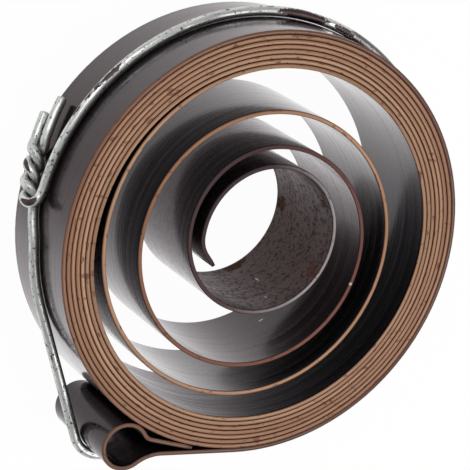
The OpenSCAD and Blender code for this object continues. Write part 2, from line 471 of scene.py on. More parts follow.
class Bench:
    """Adds nodes to one node tree and links them."""

    def __init__(self, tree: bpy.types.NodeTree) -> None:
        """Starts with the tree empty."""
        self.tree = tree
        tree.nodes.clear()

    def node(
        self, kind: str, inputs: dict[str | int, Input] | None = None, **settings: object
    ) -> bpy.types.Node:
        """Adds a node.

        Args:
            kind: Blender's name of the node.
            inputs: Values or sockets by input name or number; a socket is linked.
            settings: Properties of the node itself.

        Returns:
            The new node.
        """
        made = self.tree.nodes.new(kind)
        for name, value in settings.items():
            setattr(made, name, value)
        for key, value in (inputs or {}).items():
            if isinstance(value, Socket):
                self.tree.links.new(value, made.inputs[key])
            else:
                made.inputs[key].default_value = value
        return made

    def math(self, operation: str, first: Input, second: Input = 0.0, clamp: bool = False) -> Socket:
        """Adds a Math node.

        Args:
            operation: Blender's name of the operation.
            first: First value or socket.
            second: Second value or socket.
            clamp: Whether the result is kept from 0 to 1.

        Returns:
            The result's socket.
        """
        inputs = {0: first, 1: second}
        return self.node("ShaderNodeMath", inputs, operation=operation, use_clamp=clamp).outputs[0]

    def times(self, first: Input, second: Input) -> Socket:
        """Multiplies two values."""
        return self.math("MULTIPLY", first, second)

    def vector_math(self, operation: str, first: Input, second: Input = (0.0, 0.0, 0.0)) -> bpy.types.Node:
        """Adds a Vector Math node."""
        return self.node("ShaderNodeVectorMath", {0: first, 1: second}, operation=operation)

    def ease(self, value: Input, fade: Fade) -> Socket:
        """Maps a value smoothly from one range onto another.

        Args:
            value: The value's socket.
            fade: The two ranges.

        Returns:
            The result's socket.
        """
        inputs = dict(enumerate((value, *fade)))
        return self.node("ShaderNodeMapRange", inputs, interpolation_type="SMOOTHSTEP").outputs[0]

    def blend(self, share: Input, under: Input, over: Input) -> Socket:
        """Lays one colour over another.

        Args:
            share: How much of the upper colour shows.
            under: Lower colour or socket.
            over: Upper colour or socket.

        Returns:
            The colour's socket.
        """
        return self.node("ShaderNodeMix", {0: share, 6: under, 7: over}, data_type="RGBA").outputs[2]

    def ramp(self, share: Input, stops: tuple[tuple[float, Colour], ...]) -> Socket:
        """Colours a share from 0 to 1 by stops.

        Args:
            share: The share's socket.
            stops: Share and colour of each stop, in rising order.

        Returns:
            The colour's socket.
        """
        made = self.node("ShaderNodeValToRGB", {0: share})
        elements = made.color_ramp.elements
        for number, (position, colour) in enumerate(stops):
            stop = elements[number] if number < len(elements) else elements.new(position)
            stop.position = position
            stop.color = colour
        return made.outputs[0]

    def stretched(self, place: Input, scales: tuple[Input, Input, Input]) -> Socket:
        """Scales a place by its own amount in each direction.

        Args:
            place: The place's socket.
            scales: Amount per metre along, out and up.

        Returns:
            The scaled place's socket.
        """
        amounts = self.node("ShaderNodeCombineXYZ", dict(enumerate(scales))).outputs[0]
        return self.vector_math("MULTIPLY", place, amounts).outputs[0]

    def noise(
        self, place: Input, scale: Input = 1.0, detail: float = 3.0, roughness: float = 0.55
    ) -> Socket:
        """Adds even noise.

        Args:
            place: The place's socket.
            scale: Waves per unit of place.
            detail: Layers of finer noise.
            roughness: Strength of the finer layers.

        Returns:
            The noise's value, about 0.5 on average.
        """
        inputs = {"Vector": place, "Scale": scale, "Detail": detail, "Roughness": roughness}
        return self.node("ShaderNodeTexNoise", inputs).outputs[0]


def new_group(
    name: str, inputs: dict[str, SocketKind], outputs: dict[str, SocketKind]
) -> tuple[Bench, dict[str, Socket], dict[str, Socket]]:
    """Starts a shader node group.

    Args:
        name: Name of the group.
        inputs: Kinds of socket by input name.
        outputs: Kinds of socket by output name.

    Returns:
        A bench on the group's tree, its input sockets and its output sockets, by name.
    """
    tree = bpy.data.node_groups.new(name, "ShaderNodeTree")
    for way, sockets in (("INPUT", inputs), ("OUTPUT", outputs)):
        for label, kind in sockets.items():
            tree.interface.new_socket(name=label, in_out=way, socket_type=kind.value)
    bench = Bench(tree)
    given = bench.node("NodeGroupInput").outputs
    result = bench.node("NodeGroupOutput").inputs
    return bench, {s.name: s for s in given if s.name}, {s.name: s for s in result if s.name}


STREAK_SHADE = Fade(0.28, 0.72)
STREAK_DETAIL = 4.0
STREAK_ROUGHNESS = 0.65
SPECK_BORDER = Fade(0.74, 0.80)
SPECK_DETAIL = 2.0
PATCH_BORDER = Fade(0.85, 1.0, 1.0, 0.0)
PATCH_DETAIL = 4.0
RIM_START = Fade(0.9, 1.05)
RIM_STOP = Fade(1.1, 1.35, 1.0, 0.0)
NOISE_MEAN = 0.5


@dataclass
class Effects:
    """The node groups that the steel and the zinc share."""

    streaks: bpy.types.NodeTree
    specks: bpy.types.NodeTree
    patch: bpy.types.NodeTree

    @classmethod
    def build(cls) -> "Effects":
        """Builds the three groups."""
        return cls(cls.build_streaks(), cls.build_specks(), cls.build_patch())

    @staticmethod
    def build_streaks() -> bpy.types.NodeTree:
        """Builds the streaks that drawing and rolling leave along a strip or wire.

        Returns:
            The group.
        """
        inputs = {"Place": SocketKind.VECTOR, "Along": SocketKind.VALUE, "Across": SocketKind.VALUE}
        bench, given, result = new_group("drawn_streaks", inputs, {"Streaks": SocketKind.VALUE})
        place = bench.stretched(given["Place"], (given["Along"], given["Across"], given["Across"]))
        shade = bench.ease(bench.noise(place, detail=STREAK_DETAIL, roughness=STREAK_ROUGHNESS), STREAK_SHADE)
        bench.tree.links.new(shade, result["Streaks"])
        return bench.tree

    @staticmethod
    def build_specks() -> bpy.types.NodeTree:
        """Builds scattered specks, more of them as Share grows.

        Returns:
            The group.
        """
        inputs = {"Place": SocketKind.VECTOR}
        inputs |= dict.fromkeys(("Along", "Across", "Share"), SocketKind.VALUE)
        bench, given, result = new_group("specks", inputs, {"Specks": SocketKind.VALUE})
        place = bench.stretched(given["Place"], (given["Along"], given["Across"], given["Across"]))
        raised = bench.math("ADD", bench.noise(place, detail=SPECK_DETAIL), given["Share"])
        bench.tree.links.new(bench.ease(raised, SPECK_BORDER), result["Specks"])
        return bench.tree

    @staticmethod
    def build_patch() -> bpy.types.NodeTree:
        """Builds a ragged patch round one place, with a rim just outside it.

        Returns:
            The group.
        """
        inputs = dict.fromkeys(("Place", "Centre", "Reach"), SocketKind.VECTOR)
        inputs |= dict.fromkeys(("Ragged", "Grain"), SocketKind.VALUE)
        outputs = dict.fromkeys(("Patch", "Rim"), SocketKind.VALUE)
        bench, given, result = new_group("worn_patch", inputs, outputs)
        away = bench.vector_math("SUBTRACT", given["Place"], given["Centre"]).outputs[0]
        share = bench.vector_math("DIVIDE", away, given["Reach"]).outputs[0]
        far = bench.vector_math("LENGTH", share).outputs["Value"]
        cloud = bench.noise(given["Place"], given["Grain"], detail=PATCH_DETAIL)
        rough = bench.times(bench.math("SUBTRACT", cloud, NOISE_MEAN), given["Ragged"])
        ragged = bench.math("ADD", far, rough)
        bench.tree.links.new(bench.ease(ragged, PATCH_BORDER), result["Patch"])
        rim = bench.times(bench.ease(ragged, RIM_START), bench.ease(ragged, RIM_STOP))
        bench.tree.links.new(rim, result["Rim"])
        return bench.tree


def group_node(bench: Bench, tree: bpy.types.NodeTree, inputs: dict[str, Input]) -> bpy.types.Node:
    """Places a node group in a material."""
    return bench.node("ShaderNodeGroup", inputs, node_tree=tree)


@dataclass(frozen=True)
class Streaks:
    """Streaks along a strip or wire, in waves per metre along it and across it."""

    along: float
    across: float

    def mask(self, bench: Bench, effects: Effects, place: Input) -> Socket:
        """Places the streaks in a material."""
        inputs = {"Place": place, "Along": self.along, "Across": self.across}
        return group_node(bench, effects.streaks, inputs).outputs[0]


@dataclass(frozen=True)
class Specks:
    """Scattered specks, in waves per metre along and across, and more of them as the share grows."""

    along: float
    across: float
    share: float

    def mask(self, bench: Bench, effects: Effects, place: Input) -> Socket:
        """Places the specks in a material."""
        inputs = {"Place": place, "Along": self.along, "Across": self.across, "Share": self.share}
        return group_node(bench, effects.specks, inputs).outputs[0]


@dataclass(frozen=True)
class Patch:
    """A ragged stained or rubbed place, in a piece's unrolled millimetres."""

    along: float
    out: float
    rise: float
    reach: tuple[float, float, float]
    ragged: float = 1.2
    grain: float = 900.0

    def nodes(self, bench: Bench, effects: Effects, place: Input) -> bpy.types.Node:
        """Places the patch's group in a material.

        Args:
            bench: Bench on the material's tree.
            effects: The shared groups.
            place: Socket of the unrolled place.

        Returns:
            The group's node.
        """
        inputs = {
            "Place": place,
            "Centre": (self.along * MM, self.out * MM, self.rise * MM),
            "Reach": tuple(r * MM for r in self.reach),
            "Ragged": self.ragged,
            "Grain": self.grain,
        }
        return group_node(bench, effects.patch, inputs)

    def mask(self, bench: Bench, effects: Effects, place: Input) -> Socket:
        """Places the patch in a material, without its rim."""
        return self.nodes(bench, effects, place).outputs["Patch"]


def new_material(name: str) -> tuple[bpy.types.Material, Bench]:
    """Starts a material with an empty tree.

    Args:
        name: Name of the material.

    Returns:
        The material and a bench on its tree.
    """
    made = bpy.data.materials.new(name)
    made.use_nodes = True
    return made, Bench(made.node_tree)


def close_material(bench: Bench, shader: bpy.types.Node) -> None:
    """Links a shader to the material's output."""
    bench.node("ShaderNodeOutputMaterial", {"Surface": shader.outputs[0]})


@dataclass(frozen=True)
class SteelMarks:
    """Sockets that the strip's colour, gloss and relief share.

    Attributes:
        place: Unrolled place on the strip.
        along: Distance from the hook's tip.
        share: The same distance as a share of the strip's length.
        out: Distance from mid-thickness towards the coil's outside.
        edge: Share of slit edge.
        narrowed: Share of slit edge, held back near the hook.
        flat: Where the slit edge itself shows.
        streaks: Streaks that rolling left.
        pits: Small pits.
        grime: Even cloud that the stains follow.
        dull: The rubbed inside of the inner coil.
        worn: How strongly a face is stained.
        spots: Dark stains.
        rust: Rusted patches.
    """

    place: Socket
    along: Socket
    share: Socket
    out: Socket
    edge: Socket
    narrowed: Socket
    flat: Socket
    streaks: Socket
    pits: Socket
    grime: Socket
    dull: Socket
    worn: Socket
    spots: Socket
    rust: tuple[Socket, ...]


@dataclass(frozen=True)
class RolledFace:
    """Oxide on the strip's faces: brown near the hook and on the rim, blue-grey between."""

    blue: Colour = (0.017, 0.020, 0.026, 1.0)
    brown: Colour = (0.034, 0.021, 0.022, 1.0)
    pale: Colour = (0.045, 0.039, 0.039, 1.0)
    dull: Colour = (0.056, 0.034, 0.030, 1.0)
    dark: Colour = (0.004, 0.003, 0.003, 1.0)
    brown_start: Fade = Fade(150.0, 300.0, 1.0, 0.2)
    brown_rim: Fade = Fade(1600.0, 1660.0)
    cloud_waves: tuple[float, float, float] = (14.0, 90.0, 90.0)
    cloud: Fade = Fade(0.35, 0.65, 0.55, 1.0)
    streak_share: float = 0.4
    dull_grime: Fade = Fade(0.3, 0.5)
    spot_share: float = 0.75

    def colour(self, bench: Bench, marks: SteelMarks) -> Socket:
        """Colours the faces, with the rubbed inside of the inner coil and the dark stains.

        Args:
            bench: Bench on the material's tree.
            marks: The strip's shared sockets.

        Returns:
            The colour's socket.
        """
        start = bench.ease(marks.along, self.brown_start.in_mm)
        rim = bench.ease(marks.along, self.brown_rim.in_mm)
        cloud = bench.ease(bench.noise(bench.stretched(marks.place, self.cloud_waves)), self.cloud)
        brown = bench.times(bench.math("MAXIMUM", start, rim), cloud)
        colour = bench.blend(brown, self.blue, self.brown)
        colour = bench.blend(bench.times(marks.streaks, self.streak_share), colour, self.pale)
        rubbed = bench.times(marks.dull, bench.ease(marks.grime, self.dull_grime))
        colour = bench.blend(rubbed, colour, self.dull)
        return bench.blend(bench.times(marks.spots, self.spot_share), colour, self.dark)


@dataclass(frozen=True)
class SlitEdge:
    """Slit edges: dark at the hook and the rim, copper-brown between, with nicks and scuffs, a painted
    highlight along the middle of each edge and painted groove shade at its sides.

    The stops go by share of the strip's length, from the hook to the eye.
    """

    # Colour of the painted highlight along each slit edge's middle.
    painted_highlight: Colour = paint(196, 168, 138)
    nick: Colour = paint(84, 46, 36)
    stops: tuple[tuple[float, Colour], ...] = (
        (0.0, paint(44, 34, 36)),
        (0.013, paint(48, 38, 40)),
        # Painted highlight: a silver line along part of the inner coil's edge.
        (0.018, paint(150, 145, 147)),
        (0.029, paint(146, 138, 138)),
        (0.035, paint(72, 50, 46)),
        (0.050, paint(58, 38, 40)),
        (0.066, paint(112, 66, 58)),
        (0.082, paint(126, 78, 64)),
        (0.1, paint(128, 88, 66)),
        (0.125, paint(154, 118, 92)),
        (0.25, paint(158, 126, 102)),
        (0.5, paint(154, 119, 95)),
        (0.85, paint(144, 109, 88)),
        (0.89, paint(122, 88, 72)),
        (0.92, paint(84, 58, 52)),
        (0.945, paint(62, 46, 46)),
        (0.972, paint(54, 42, 42)),
        (0.985, paint(78, 64, 60)),
    )
    tone_waves: tuple[float, float, float] = (22.0, 300.0, 0.0)
    tone: Fade = Fade(0.3, 0.7)
    tone_share: float = 0.4
    slitting: Streaks = Streaks(26.0, 5200.0)
    slit_shade: Fade = Fade(0.45, 1.0, 0.0, 0.5)
    # Across the edge: where its middle lies, how far painted groove shade darkens its sides and how wide the
    # painted highlight is; then how the highlight follows the tone and where along the strip it starts.
    highlight_shift: float = 0.03
    groove_shade_across: Fade = Fade(0.13, 0.33, 0.0, 0.75)
    highlight_across: Fade = Fade(0.0, 0.13, 1.0, 0.0)
    highlight_tone: Fade = Fade(0.2, 0.8, 0.3, 0.05)
    highlight_along: Fade = Fade(0.06, 0.15)
    nicks: Specks = Specks(420.0, 1700.0, 0.11)
    nick_share: float = 0.75
    scuffs: Specks = Specks(420.0, 760.0, 0.1)
    scuff_share: float = 0.6

    def colour(self, bench: Bench, effects: Effects, marks: SteelMarks, corner: Input) -> Socket:
        """Colours the slit edge: a painted highlight along its middle, painted groove shade towards its
        sides, with nicks and scuffs.

        Args:
            bench: Bench on the material's tree.
            effects: The shared groups.
            marks: The strip's shared sockets.
            corner: Socket of the darker corner colour, used for painted groove shade.

        Returns:
            The colour's socket.
        """
        tone = bench.ease(bench.noise(bench.stretched(marks.place, self.tone_waves)), self.tone)
        colour = bench.ramp(marks.share, self.stops)
        colour = bench.blend(bench.times(tone, self.tone_share), colour, corner)
        slits = self.slitting.mask(bench, effects, marks.place)
        colour = bench.blend(bench.ease(slits, self.slit_shade), colour, corner)
        side = bench.math("ABSOLUTE", bench.math("ADD", marks.out, self.highlight_shift * MM))
        # Painted shade: the edge darkens to the corner colour towards both sides, into the grooves between
        # turns.
        colour = bench.blend(bench.ease(side, self.groove_shade_across.in_mm), colour, corner)
        # Painted highlight: a pale line along the middle of each slit edge, where its rounded face would
        # catch the light, faded in away from the hook.
        bright = bench.times(bench.ease(side, self.highlight_across.in_mm), bench.ease(tone, self.highlight_tone))
        bright = bench.times(bright, bench.ease(marks.share, self.highlight_along))
        colour = bench.blend(bright, colour, self.painted_highlight)
        nicks = self.nicks.mask(bench, effects, marks.place)
        colour = bench.blend(bench.times(nicks, self.nick_share), colour, self.nick)
        crossing = bench.node("ShaderNodeTexCoord").outputs["Object"]
        scuffs = self.scuffs.mask(bench, effects, crossing)
        return bench.blend(bench.times(scuffs, self.scuff_share), colour, self.nick)


@dataclass(frozen=True)
class OilFilmAndShade:
    """Oil on the faces, thinned at listed places along the strip, where the dips darken the faces'
    reflections as painted shade.

    The stops are millimetres from the hook's tip, each with the film's weight.
    """

    # The dips in these weights are painted shade: they dim the faces' reflections where the faces should look
    # darker.
    stops: tuple[tuple[float, float], ...] = (
        (0.0, 0.9),
        (80.0, 0.9),
        (101.0, 0.5),
        (120.0, 0.9),
        (154.0, 0.7),
        (200.0, 1.0),
        (445.0, 0.95),
        (460.0, 0.1),
        (480.0, 0.1),
        (500.0, 0.95),
        (1694.0, 1.0),
        (1704.0, 0.1),
        (1711.0, 0.15),
        (1722.0, 0.75),
        (1735.0, 1.0),
        (1870.0, 1.0),
        (1886.0, 0.5),
    )
    on_edge: Fade = Fade(0.1, 0.4, 1.0, 0.0)
    on_dull: Fade = Fade(0.0, 1.0, 1.0, 0.1)
    on_spots: Fade = Fade(0.0, 1.0, 1.0, 0.45)
    roughness: float = 0.11
    ior: float = 1.3

    def weight(self, bench: Bench, marks: SteelMarks, strip_l: float) -> Socket:
        """How much oil lies on the strip: none on slit edges and rust, little on rubbed places, and thin
        where its stops paint shade.

        Args:
            bench: Bench on the material's tree.
            marks: The strip's shared sockets.
            strip_l: Length of the strip.

        Returns:
            The film's socket, 1 where it is whole.
        """
        stops = tuple((place / strip_l, (weight, weight, weight, 1.0)) for place, weight in self.stops)
        oil_and_shade = bench.times(bench.ease(marks.edge, self.on_edge), bench.ramp(marks.share, stops))
        oil_and_shade = bench.times(oil_and_shade, bench.ease(marks.dull, self.on_dull))
        oil_and_shade = bench.times(oil_and_shade, bench.ease(marks.spots, self.on_spots))
        for rust in marks.rust:
            oil_and_shade = bench.math("SUBTRACT", oil_and_shade, rust, clamp=True)
        return oil_and_shade


@dataclass(frozen=True)
class SpringSteel:
    """Dark oiled faces and copper-brown slit edges, with painted groove shade on the corners between."""

    strip_l: float = 1902.0
    face: RolledFace = RolledFace()
    slit: SlitEdge = SlitEdge()
    oil_and_shade: OilFilmAndShade = OilFilmAndShade()
    sheen: Colour = (1.0, 0.93, 0.955, 1.0)
    sheen_level: float = 0.2
    # Painted shade: darker browns for the rounded corners, where the grooves between turns lie; darker still
    # near the hook.
    corner: Colour = paint(106, 70, 50)
    groove_shade_dark: Colour = paint(60, 47, 48)
    rust: Colour = paint(88, 54, 40)
    scratch: Colour = paint(170, 160, 154)
    rolling: Streaks = Streaks(12.0, 1500.0)
    pits: Specks = Specks(1900.0, 1900.0, 0.06)
    pit_share: float = 0.7
    rust_share: float = 0.8
    grime_waves: float = 1700.0
    grime_detail: float = 5.0
    grime_roughness: float = 0.7
    inner_coil: Fade = Fade(75.0, 90.0, 1.0, 0.0)
    inner_face: Fade = Fade(-0.25, -0.05, 1.0, 0.0)
    edge_narrowing: Fade = Fade(90.0, 330.0, -0.3, 0.0)
    edge_flat: Fade = Fade(0.42, 0.72)
    worn_along: Fade = Fade(90.0, 180.0, 1.0, 0.1)
    worn_dull: Fade = Fade(0.0, 1.0, 0.4, 1.0)
    spot_grime: Fade = Fade(0.47, 0.62)
    groove_shade_along: Fade = Fade(90.0, 230.0)
    groove_shade_edge: Fade = Fade(0.1, 0.35)
    metal_edge: Fade = Fade(0.05, 0.4, 0.75, 0.35)
    streak_gloss: Fade = Fade(0.0, 1.0, 0.11, 0.29)
    dull_rougher: float = 0.18
    flat_rougher: float = 0.25
    pit_rougher: float = 0.2
    spot_rougher: float = 0.2
    rust_rougher: float = 0.3
    streak_height: float = 0.7
    pit_depth: float = 0.3
    relief: float = 0.25
    relief_h: float = 0.04
    rusted: tuple[Patch, ...] = (
        Patch(54.4, -0.35, -8.6, (2.2, 0.5, 1.3), 2.4, 1400.0),
        Patch(41.0, -0.35, -7.8, (1.5, 0.5, 1.8), 2.4, 1400.0),
        Patch(48.0, -0.35, 8.0, (1.2, 0.5, 1.4), 2.8, 1600.0),
        Patch(36.2, -0.35, 7.2, (0.9, 0.5, 1.2), 2.8, 1600.0),
    )
    scratched: tuple[Patch, ...] = (
        Patch(54.4, -0.35, -1.1, (0.1, 0.5, 0.7), 0.6),
        Patch(62.8, -0.35, -0.3, (0.1, 0.5, 0.5), 0.6),
        Patch(56.3, -0.35, 5.5, (0.1, 0.5, 0.5), 0.6),
        Patch(148.2, -0.35, -2.6, (0.5, 0.5, 0.2), 0.6),
        Patch(134.6, -0.07, 9.5, (0.25, 0.3, 0.3), 0.6),
    )

    def build(self, effects: Effects) -> bpy.types.Material:
        """Builds the material.

        Args:
            effects: The shared groups.

        Returns:
            The material.
        """
        made, bench = new_material("dark_spring_steel")
        marks = self.marks(bench, effects)
        height = self.height(bench, marks)
        relief = {"Strength": self.relief, "Distance": self.relief_h * MM, "Height": height}
        shader = bench.node(
            "ShaderNodeBsdfPrincipled",
            {
                "Base Color": self.colour(bench, effects, marks),
                "Roughness": self.roughness(bench, marks),
                "Metallic": self.metal(bench, marks),
                "Coat Weight": self.oil_and_shade.weight(bench, marks, self.strip_l),
                "Coat Roughness": self.oil_and_shade.roughness,
                "Coat IOR": self.oil_and_shade.ior,
                "Specular IOR Level": self.sheen_level,
                "Specular Tint": self.sheen,
                "Normal": bench.node("ShaderNodeBump", relief).outputs[0],
            },
        )
        close_material(bench, shader)
        return made

    def marks(self, bench: Bench, effects: Effects) -> SteelMarks:
        """Finds where the strip is edge or face, rubbed, stained, pitted or rusted.

        Args:
            bench: Bench on the material's tree.
            effects: The shared groups.

        Returns:
            The sockets that colour, gloss and relief share.
        """
        place = bench.node("ShaderNodeAttribute", attribute_name=Mark.PLACE.value).outputs["Vector"]
        edge = bench.node("ShaderNodeAttribute", attribute_name=Mark.EDGE.value).outputs["Fac"]
        along, out, _ = bench.node("ShaderNodeSeparateXYZ", {0: place}).outputs
        coil, face = bench.ease(along, self.inner_coil.in_mm), bench.ease(out, self.inner_face.in_mm)
        dull = bench.times(coil, face)
        grime = bench.noise(place, self.grime_waves, self.grime_detail, self.grime_roughness)
        worn = bench.times(bench.ease(along, self.worn_along.in_mm), bench.ease(dull, self.worn_dull))
        narrowed = bench.math("ADD", edge, bench.ease(along, self.edge_narrowing.in_mm))
        return SteelMarks(
            place=place,
            along=along,
            share=bench.math("DIVIDE", along, self.strip_l * MM),
            out=out,
            edge=edge,
            narrowed=narrowed,
            flat=bench.ease(narrowed, self.edge_flat),
            streaks=self.rolling.mask(bench, effects, place),
            pits=self.pits.mask(bench, effects, place),
            grime=grime,
            dull=dull,
            worn=worn,
            spots=bench.times(worn, bench.ease(grime, self.spot_grime)),
            rust=tuple(patch.mask(bench, effects, place) for patch in self.rusted),
        )

    def colour(self, bench: Bench, effects: Effects, marks: SteelMarks) -> Socket:
        """Colours faces, corners and slit edges, and then pits, rust and scratches; the corners carry painted
        groove shade.

        Args:
            bench: Bench on the material's tree.
            effects: The shared groups.
            marks: The strip's shared sockets.

        Returns:
            The colour's socket.
        """
        # Painted shade: the faces darken to the corner colour where they round onto the slit edge, in the
        # grooves between turns.
        corner = bench.blend(bench.ease(marks.along, self.groove_shade_along.in_mm), self.groove_shade_dark, self.corner)
        colour = self.face.colour(bench, marks)
        colour = bench.blend(bench.ease(marks.narrowed, self.groove_shade_edge), colour, corner)
        colour = bench.blend(marks.flat, colour, self.slit.colour(bench, effects, marks, corner))
        colour = bench.blend(bench.times(marks.pits, self.pit_share), colour, self.face.dark)
        for rust in marks.rust:
            colour = bench.blend(bench.times(rust, self.rust_share), colour, self.rust)
        for patch in self.scratched:
            colour = bench.blend(patch.mask(bench, effects, marks.place), colour, self.scratch)
        return colour

    def roughness(self, bench: Bench, marks: SteelMarks) -> Socket:
        """How rough the steel is: smooth rolled faces, rougher where rubbed, slit, stained or rusted.

        Args:
            bench: Bench on the material's tree.
            marks: The strip's shared sockets.

        Returns:
            The roughness's socket.
        """
        rougher = [
            (marks.dull, self.dull_rougher),
            (marks.flat, self.flat_rougher),
            (marks.pits, self.pit_rougher),
            (marks.spots, self.spot_rougher),
        ]
        rougher += [(rust, self.rust_rougher) for rust in marks.rust]
        rough = bench.ease(marks.streaks, self.streak_gloss)
        for mark, more in rougher:
            rough = bench.math("ADD", rough, bench.times(mark, more))
        return rough

    def metal(self, bench: Bench, marks: SteelMarks) -> Socket:
        """How metallic the steel is: most on its faces, less on slit edges, and not where it is rusted.

        Args:
            bench: Bench on the material's tree.
            marks: The strip's shared sockets.

        Returns:
            The share's socket.
        """
        metal = bench.ease(marks.narrowed, self.metal_edge)
        for rust in marks.rust:
            metal = bench.math("SUBTRACT", metal, rust, clamp=True)
        return metal

    def height(self, bench: Bench, marks: SteelMarks) -> Socket:
        """Fine relief of the steel: rolling streaks, pits and caked grime.

        Args:
            bench: Bench on the material's tree.
            marks: The strip's shared sockets.

        Returns:
            The height's socket.
        """
        streaks = bench.times(marks.streaks, self.streak_height)
        pitted = bench.math("SUBTRACT", streaks, bench.times(marks.pits, self.pit_depth))
        return bench.math("ADD", pitted, bench.times(marks.grime, marks.worn))


@dataclass(frozen=True)
class CutSteel:
    """Brighter steel where the strip was sheared off."""

    bright: Colour = (0.42, 0.40, 0.39, 1.0)
    dull: Colour = (0.16, 0.13, 0.12, 1.0)
    shearing: Streaks = Streaks(3000.0, 400.0)
    streak_gloss: Fade = Fade(0.0, 1.0, 0.3, 0.5)

    def build(self, effects: Effects) -> bpy.types.Material:
        """Builds the material.

        Args:
            effects: The shared groups.

        Returns:
            The material.
        """
        made, bench = new_material("sheared_steel")
        place = bench.node("ShaderNodeTexCoord").outputs["Object"]
        streaks = self.shearing.mask(bench, effects, place)
        shader = bench.node(
            "ShaderNodeBsdfPrincipled",
            {
                "Base Color": bench.blend(streaks, self.bright, self.dull),
                "Roughness": bench.ease(streaks, self.streak_gloss),
                "Metallic": 1.0,
            },
        )
        close_material(bench, shader)
        return made


@dataclass(frozen=True)
class Galvanised:
    """Grey zinc with dark specks, rubbed streaks and brown patches worn to the steel."""

    zinc: Colour = (0.76, 0.77, 0.75, 1.0)
    dull: Colour = (0.30, 0.315, 0.30, 1.0)
    dark: Colour = (0.02, 0.02, 0.02, 1.0)
    brown: Colour = (0.075, 0.052, 0.054, 1.0)
    pale: Colour = (0.80, 0.80, 0.78, 1.0)
    drawing: Streaks = Streaks(260.0, 2600.0)
    streak_share: float = 0.75
    streak_gloss: Fade = Fade(0.0, 1.0, 0.28, 0.42)
    streak_height: float = 0.5
    specks: Specks = Specks(1700.0, 3000.0, 0.135)
    speck_share: float = 0.9
    stain_share: float = 0.75
    rim_share: float = 0.4
    relief: float = 0.5
    relief_h: float = 0.06
    patches: tuple[Patch, ...] = (
        Patch(13.2, -0.56, -0.56, (1.1, 0.4, 0.4), 1.6, 1500.0),
        Patch(22.0, 0.72, -0.2, (1.5, 0.35, 0.55), 0.7),
        Patch(37.9, 0.45, -0.66, (1.2, 0.3, 0.3), 2.0, 1500.0),
        Patch(40.9, 0.56, -0.56, (1.2, 0.3, 0.3), 2.0, 1500.0),
        Patch(42.8, 0.66, -0.45, (1.4, 0.4, 0.4), 2.0, 1500.0),
        Patch(45.4, 0.70, -0.40, (2.0, 0.4, 0.5), 2.0, 1500.0),
        Patch(79.5, 0.55, 0.25, (5.0, 1.0, 0.9), 1.2, 1500.0),
        Patch(87.0, 0.60, 0.40, (2.2, 0.5, 0.5), 1.6, 1500.0),
    )
    stained: tuple[Patch, ...] = (Patch(94.0, 0.5, 0.5, (9.0, 1.3, 1.3), 0.8, 700.0),)

    def build(self, effects: Effects) -> bpy.types.Material:
        """Builds the material.

        Args:
            effects: The shared groups.

        Returns:
            The material.
        """
        made, bench = new_material("galvanised_wire")
        place = bench.node("ShaderNodeAttribute", attribute_name=Mark.PLACE.value).outputs["Vector"]
        streaks = self.drawing.mask(bench, effects, place)
        specks = self.specks.mask(bench, effects, place)
        colour = bench.blend(bench.times(streaks, self.streak_share), self.zinc, self.dull)
        colour = bench.blend(bench.times(specks, self.speck_share), colour, self.dark)
        for patch in self.stained:
            stain = bench.times(patch.mask(bench, effects, place), self.stain_share)
            colour = bench.blend(stain, colour, self.brown)
        height = bench.math("SUBTRACT", bench.times(streaks, self.streak_height), specks)
        for patch in self.patches:
            marks = patch.nodes(bench, effects, place).outputs
            colour = bench.blend(marks["Patch"], colour, self.brown)
            colour = bench.blend(bench.times(marks["Rim"], self.rim_share), colour, self.pale)
            height = bench.math("SUBTRACT", height, marks["Patch"])
        relief = {"Strength": self.relief, "Distance": self.relief_h * MM, "Height": height}
        shader = bench.node(
            "ShaderNodeBsdfPrincipled",
            {
                "Base Color": colour,
                "Roughness": bench.ease(streaks, self.streak_gloss),
                "Metallic": 1.0,
                "Normal": bench.node("ShaderNodeBump", relief).outputs[0],
            },
        )
        close_material(bench, shader)
        return made


